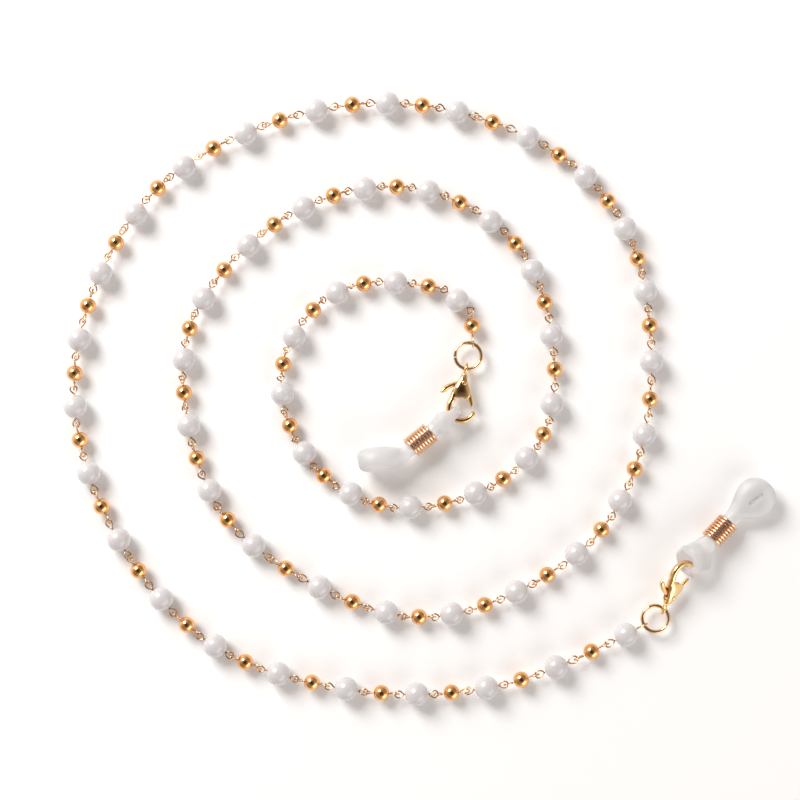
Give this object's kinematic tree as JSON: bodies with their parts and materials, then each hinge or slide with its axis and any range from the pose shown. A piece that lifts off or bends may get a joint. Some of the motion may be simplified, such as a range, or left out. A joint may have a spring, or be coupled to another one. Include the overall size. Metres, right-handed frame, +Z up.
{
  "type": "eyeglasses chain strap",
  "caption": "Beaded eyeglasses chain of pearl and gold beads on eye pins, lying coiled, with jump rings, lobster clasps and silicone temple loops held by wire coils.",
  "frame": {"origin": "centre of the strap's bounding box in plan, on the surface that the strap lies on", "axes": "+Z up from the table; the outer silicone loop is at +X, and the strap coils clockwise inwards seen from above"},
  "size_m": [0.149, 0.1282, 0.0088],
  "materials": {
    "pearl_run": "joined run: pearl beads with a gold bead between them, on gold wire",
    "gold_run": "joined run: gold beads with a pearl between them, on gold wire",
    "pearl": "glossy imitation pearl, warm grey-white",
    "gold_bead": "polished orange-gold plating",
    "wire": "polished rose-gold wire",
    "ring_gold": "polished pale gold plating",
    "clasp_gold": "polished yellow-gold plating",
    "spring_steel": "bare spring wire",
    "silicone": "translucent milky-white silicone, satin",
    "coil_copper": "polished copper-gold wire"
  },
  "bodies": {
    "link_outer_1": {"eye_pin_outer_1": "wire"},
    "link_outer_2": {"eye_pin_outer_2": "wire"},
    "link_outer_3": {"eye_pin_outer_3": "wire"},
    "chain_run_01": {"chain_run_01": "pearl_run"},
    "chain_run_02": {"chain_run_02": "gold_run"},
    "chain_run_03": {"chain_run_03": "pearl_run"},
    "chain_run_04": {"chain_run_04": "gold_run"},
    "chain_run_05": {"chain_run_05": "pearl_run"},
    "chain_run_06": {"chain_run_06": "gold_run"},
    "chain_run_07": {"chain_run_07": "pearl_run"},
    "chain_run_08": {"chain_run_08": "gold_run"},
    "chain_run_09": {"chain_run_09": "pearl_run"},
    "chain_run_10": {"chain_run_10": "gold_run"},
    "chain_run_11": {"chain_run_11": "pearl_run"},
    "chain_run_12": {"chain_run_12": "gold_run"},
    "chain_run_13": {"chain_run_13": "pearl_run"},
    "chain_run_14": {"chain_run_14": "gold_run"},
    "chain_run_15": {"chain_run_15": "pearl_run"},
    "chain_run_16": {"chain_run_16": "gold_run"},
    "chain_run_17": {"chain_run_17": "pearl_run"},
    "chain_run_18": {"chain_run_18": "gold_run"},
    "chain_run_19": {"chain_run_19": "pearl_run"},
    "chain_run_20": {"chain_run_20": "gold_run"},
    "chain_run_21": {"chain_run_21": "pearl_run"},
    "chain_run_22": {"chain_run_22": "gold_run"},
    "chain_run_23": {"chain_run_23": "pearl_run"},
    "chain_run_24": {"chain_run_24": "gold_run"},
    "chain_run_25": {"chain_run_25": "pearl_run"},
    "chain_run_26": {"chain_run_26": "gold_run"},
    "chain_run_27": {"chain_run_27": "pearl_run"},
    "chain_run_28": {"chain_run_28": "gold_run"},
    "chain_run_29": {"chain_run_29": "pearl_run"},
    "chain_run_30": {"chain_run_30": "gold_run"},
    "chain_run_31": {"chain_run_31": "pearl_run"},
    "chain_run_32": {"chain_run_32": "gold_run"},
    "chain_run_33": {"chain_run_33": "pearl_run"},
    "chain_run_34": {"chain_run_34": "gold_run"},
    "link_inner_3": {"eye_pin_inner_3": "wire"},
    "link_inner_2": {"eye_pin_inner_2": "wire"},
    "link_inner_1": {"eye_pin_inner_1": "wire"},
    "bead_outer_1": {"pearl_bead_outer_1": "pearl"},
    "bead_outer_2": {"gold_bead_outer_2": "gold_bead"},
    "bead_outer_3": {"pearl_bead_outer_3": "pearl"},
    "bead_inner_3": {"gold_bead_inner_3": "gold_bead"},
    "bead_inner_2": {"pearl_bead_inner_2": "pearl"},
    "bead_inner_1": {"gold_bead_inner_1": "gold_bead"},
    "ring_outer": {"jump_ring_outer": "ring_gold"},
    "clasp_outer": {"clasp_body_outer": "clasp_gold", "clasp_pin_outer": "clasp_gold", "lever_spring_outer": "spring_steel"},
    "lever_outer": {"clasp_lever_outer": "clasp_gold"},
    "temple_outer": {"silicone_loop_outer": "silicone"},
    "coil_outer": {"coil_sleeve_outer": "coil_copper"},
    "ring_inner": {"jump_ring_inner": "ring_gold"},
    "clasp_inner": {"clasp_body_inner": "clasp_gold", "clasp_pin_inner": "clasp_gold", "lever_spring_inner": "spring_steel"},
    "lever_inner": {"clasp_lever_inner": "clasp_gold"},
    "temple_inner": {"silicone_loop_inner": "silicone"},
    "coil_inner": {"coil_sleeve_inner": "coil_copper"}
  },
  "joints": [
    {"name": "ring_lift_outer", "type": "hinge", "parent": "link_outer_1", "child": "ring_outer", "pos_m": [0.04698, -0.0475, 0.0024], "axis": [0.4977, -0.8674, 0], "range_deg": [0, 30]},
    {"name": "ring_lift_inner", "type": "hinge", "parent": "link_inner_1", "child": "ring_inner", "pos_m": [0.01099, 0.01155, 0.0024], "axis": [-0.9411, 0.3382, 0], "range_deg": [0, 30]},
    {"name": "clasp_lift_outer", "type": "hinge", "parent": "ring_outer", "child": "clasp_outer", "pos_m": [0.05113, -0.04403, 0.0024], "axis": [0.9272, -0.3746, 0], "range_deg": [0, 30]},
    {"name": "clasp_lift_inner", "type": "hinge", "parent": "ring_inner", "child": "clasp_inner", "pos_m": [0.00959, 0.00626, 0.0024], "axis": [-0.9744, 0.225, 0], "range_deg": [0, 30]},
    {"name": "clasp_lever_outer", "type": "hinge", "parent": "clasp_outer", "child": "lever_outer", "pos_m": [0.05246, -0.04136, 0.00284], "axis": [0.5095, -0.3825, 0.7708], "range_deg": [0, 18], "stiffness_Nm_per_rad": 0.0002},
    {"name": "clasp_lever_inner", "type": "hinge", "parent": "clasp_inner", "child": "lever_inner", "pos_m": [0.00921, 0.00328, 0.00261], "axis": [-0.0157, -0.068, -0.9976], "range_deg": [0, 18], "stiffness_Nm_per_rad": 0.0002},
    {"name": "temple_lift_outer", "type": "hinge", "parent": "clasp_outer", "child": "temple_outer", "pos_m": [0.05653, -0.03467, 0.00347], "axis": [0.6063, -0.4761, -0.637], "range_deg": [0, 20]},
    {"name": "temple_lift_inner", "type": "hinge", "parent": "clasp_inner", "child": "temple_inner", "pos_m": [0.00661, -0.00353, 0.00311], "axis": [-0.6022, 0.7971, -0.0448], "range_deg": [0, 20]},
    {"name": "coil_slide_outer", "type": "slide", "parent": "temple_outer", "child": "coil_outer", "axis": [0.6934, 0.7143, -0.0945], "range_m": [0, 0.0012]},
    {"name": "coil_slide_inner", "type": "slide", "parent": "temple_inner", "child": "coil_inner", "axis": [-0.776, -0.625, 0.0846], "range_m": [0, 0.0005]},
    {"name": "bead_spin_outer_1", "type": "hinge", "parent": "link_outer_1", "child": "bead_outer_1", "pos_m": [0.04318, -0.04947, 0.0025], "axis": [-0.8883, -0.4592, 0], "continuous": true},
    {"name": "bead_spin_outer_2", "type": "hinge", "parent": "link_outer_2", "child": "bead_outer_2", "pos_m": [0.03593, -0.05304, 0.00235], "axis": [-0.9069, -0.4214, 0], "continuous": true},
    {"name": "bead_spin_outer_3", "type": "hinge", "parent": "link_outer_3", "child": "bead_outer_3", "pos_m": [0.02853, -0.05628, 0.0025], "axis": [-0.9235, -0.3836, 0], "continuous": true},
    {"name": "bead_spin_inner_3", "type": "hinge", "parent": "link_inner_3", "child": "bead_inner_3", "pos_m": [0.00172, 0.02361, 0.00235], "axis": [0.9829, -0.184, 0], "continuous": true},
    {"name": "bead_spin_inner_2", "type": "hinge", "parent": "link_inner_2", "child": "bead_inner_2", "pos_m": [0.00776, 0.02071, 0.0025], "axis": [0.7806, -0.625, 0], "continuous": true},
    {"name": "bead_spin_inner_1", "type": "hinge", "parent": "link_inner_1", "child": "bead_inner_1", "pos_m": [0.01086, 0.01531, 0.00235], "axis": [0.0353, -0.9994, 0], "continuous": true},
    {"name": "link_inner_3_eye", "type": "hinge", "parent": "chain_run_34", "child": "link_inner_3", "pos_m": [-0.00129, 0.02418, 0.0024], "axis": [0, 0, 1], "range_deg": [-3, 21]},
    {"name": "link_inner_2_eye", "type": "hinge", "parent": "link_inner_3", "child": "link_inner_2", "pos_m": [0.00488, 0.02302, 0.0024], "axis": [0, 0, 1], "range_deg": [-3, 12]},
    {"name": "link_inner_1_eye", "type": "hinge", "parent": "link_inner_2", "child": "link_inner_1", "pos_m": [0.01076, 0.01832, 0.0024], "axis": [0, 0, 1], "range_deg": [-3, 9]},
    {"name": "link_outer_3_eye", "type": "hinge", "parent": "chain_run_01", "child": "link_outer_3", "pos_m": [0.02456, -0.05793, 0.0024], "axis": [0, 0, -1], "range_deg": [-3, 11.9]},
    {"name": "link_outer_2_eye", "type": "hinge", "parent": "link_outer_3", "child": "link_outer_2", "pos_m": [0.03263, -0.05458, 0.0024], "axis": [0, 0, -1], "range_deg": [-3, 2.4]},
    {"name": "link_outer_1_eye", "type": "hinge", "parent": "link_outer_2", "child": "link_outer_1", "pos_m": [0.03923, -0.05151, 0.0024], "axis": [0, 0, -1], "range_deg": [-3, 2.4]},
    {"name": "run_18_eye", "type": "hinge", "parent": "chain_run_17", "child": "chain_run_18", "pos_m": [0.02388, -0.03868, 0.0024], "axis": [0, 0, 1], "range_deg": [-3, 16]},
    {"name": "run_19_eye", "type": "hinge", "parent": "chain_run_18", "child": "chain_run_19", "pos_m": [0.00285, -0.04584, 0.0024], "axis": [0, 0, 1], "range_deg": [-3, 17]},
    {"name": "run_20_eye", "type": "hinge", "parent": "chain_run_19", "child": "chain_run_20", "pos_m": [-0.01742, -0.04138, 0.0024], "axis": [0, 0, 1], "range_deg": [-3, 19]},
    {"name": "run_21_eye", "type": "hinge", "parent": "chain_run_20", "child": "chain_run_21", "pos_m": [-0.03823, -0.02805, 0.0024], "axis": [0, 0, 1], "range_deg": [-3, 19]},
    {"name": "run_22_eye", "type": "hinge", "parent": "chain_run_21", "child": "chain_run_22", "pos_m": [-0.04782, -0.00949, 0.0024], "axis": [0, 0, 1], "range_deg": [-3, 16]},
    {"name": "run_23_eye", "type": "hinge", "parent": "chain_run_22", "child": "chain_run_23", "pos_m": [-0.04927, 0.01195, 0.0024], "axis": [0, 0, 1], "range_deg": [-3, 14]},
    {"name": "run_24_eye", "type": "hinge", "parent": "chain_run_23", "child": "chain_run_24", "pos_m": [-0.03903, 0.02948, 0.0024], "axis": [0, 0, 1], "range_deg": [-3, 17]},
    {"name": "run_25_eye", "type": "hinge", "parent": "chain_run_24", "child": "chain_run_25", "pos_m": [-0.02104, 0.04175, 0.0024], "axis": [0, 0, 1], "range_deg": [-3, 21]},
    {"name": "run_26_eye", "type": "hinge", "parent": "chain_run_25", "child": "chain_run_26", "pos_m": [-0.00195, 0.04437, 0.0024], "axis": [0, 0, 1], "range_deg": [-3, 20]},
    {"name": "run_27_eye", "type": "hinge", "parent": "chain_run_26", "child": "chain_run_27", "pos_m": [0.01791, 0.03497, 0.0024], "axis": [0, 0, 1], "range_deg": [-3, 21]},
    {"name": "run_28_eye", "type": "hinge", "parent": "chain_run_27", "child": "chain_run_28", "pos_m": [0.02697, 0.01722, 0.0024], "axis": [0, 0, 1], "range_deg": [-3, 25]},
    {"name": "run_29_eye", "type": "hinge", "parent": "chain_run_28", "child": "chain_run_29", "pos_m": [0.02705, -0.00481, 0.0024], "axis": [0, 0, 1], "range_deg": [-3, 25]},
    {"name": "run_30_eye", "type": "hinge", "parent": "chain_run_29", "child": "chain_run_30", "pos_m": [0.015, -0.01839, 0.0024], "axis": [0, 0, 1], "range_deg": [-3, 25]},
    {"name": "run_31_eye", "type": "hinge", "parent": "chain_run_30", "child": "chain_run_31", "pos_m": [-0.00577, -0.02287, 0.0024], "axis": [0, 0, 1], "range_deg": [-3, 25]},
    {"name": "run_32_eye", "type": "hinge", "parent": "chain_run_31", "child": "chain_run_32", "pos_m": [-0.02231, -0.01431, 0.0024], "axis": [0, 0, 1], "range_deg": [-2, 25]},
    {"name": "run_33_eye", "type": "hinge", "parent": "chain_run_32", "child": "chain_run_33", "pos_m": [-0.02928, 0.00458, 0.0024], "axis": [0, 0, 1], "range_deg": [0, 25]},
    {"name": "run_34_eye", "type": "hinge", "parent": "chain_run_33", "child": "chain_run_34", "pos_m": [-0.02056, 0.02064, 0.0024], "axis": [0, 0, 1], "range_deg": [-1, 25]},
    {"name": "run_16_eye", "type": "hinge", "parent": "chain_run_17", "child": "chain_run_16", "pos_m": [0.04003, -0.02495, 0.0024], "axis": [0, 0, -1], "range_deg": [-3, 12]},
    {"name": "run_15_eye", "type": "hinge", "parent": "chain_run_16", "child": "chain_run_15", "pos_m": [0.0479, -0.00347, 0.0024], "axis": [0, 0, -1], "range_deg": [-3, 11]},
    {"name": "run_14_eye", "type": "hinge", "parent": "chain_run_15", "child": "chain_run_14", "pos_m": [0.04787, 0.01857, 0.0024], "axis": [0, 0, -1], "range_deg": [-3, 11]},
    {"name": "run_13_eye", "type": "hinge", "parent": "chain_run_14", "child": "chain_run_13", "pos_m": [0.04119, 0.03909, 0.0024], "axis": [0, 0, -1], "range_deg": [-3, 10]},
    {"name": "run_12_eye", "type": "hinge", "parent": "chain_run_13", "child": "chain_run_12", "pos_m": [0.02632, 0.05305, 0.0024], "axis": [0, 0, -1], "range_deg": [-3, 11]},
    {"name": "run_11_eye", "type": "hinge", "parent": "chain_run_12", "child": "chain_run_11", "pos_m": [0.00373, 0.06111, 0.0024], "axis": [0, 0, -1], "range_deg": [-3, 16]},
    {"name": "run_10_eye", "type": "hinge", "parent": "chain_run_11", "child": "chain_run_10", "pos_m": [-0.01765, 0.06131, 0.0024], "axis": [0, 0, -1], "range_deg": [-3, 18.1]},
    {"name": "run_09_eye", "type": "hinge", "parent": "chain_run_10", "child": "chain_run_09", "pos_m": [-0.04045, 0.0541, 0.0024], "axis": [0, 0, -1], "range_deg": [-3, 18.2]},
    {"name": "run_08_eye", "type": "hinge", "parent": "chain_run_09", "child": "chain_run_08", "pos_m": [-0.05733, 0.04196, 0.0024], "axis": [0, 0, -1], "range_deg": [-3, 23.9]},
    {"name": "run_07_eye", "type": "hinge", "parent": "chain_run_08", "child": "chain_run_07", "pos_m": [-0.0687, 0.0226, 0.0024], "axis": [0, 0, -1], "range_deg": [-3, 19.3]},
    {"name": "run_06_eye", "type": "hinge", "parent": "chain_run_07", "child": "chain_run_06", "pos_m": [-0.07269, 0.00226, 0.0024], "axis": [0, 0, -1], "range_deg": [-3, 22.7]},
    {"name": "run_05_eye", "type": "hinge", "parent": "chain_run_06", "child": "chain_run_05", "pos_m": [-0.06822, -0.01952, 0.0024], "axis": [0, 0, -1], "range_deg": [-3, 18.3]},
    {"name": "run_04_eye", "type": "hinge", "parent": "chain_run_05", "child": "chain_run_04", "pos_m": [-0.05711, -0.03881, 0.0024], "axis": [0, 0, -1], "range_deg": [-3, 19.1]},
    {"name": "run_03_eye", "type": "hinge", "parent": "chain_run_04", "child": "chain_run_03", "pos_m": [-0.03966, -0.05397, 0.0024], "axis": [0, 0, -1], "range_deg": [-3, 23.7]},
    {"name": "run_02_eye", "type": "hinge", "parent": "chain_run_03", "child": "chain_run_02", "pos_m": [-0.01952, -0.06026, 0.0024], "axis": [0, 0, -1], "range_deg": [-3, 13.1]},
    {"name": "run_01_eye", "type": "hinge", "parent": "chain_run_02", "child": "chain_run_01", "pos_m": [0.00333, -0.06194, 0.0024], "axis": [0, 0, -1], "range_deg": [-3, 14.9]}
  ]
}
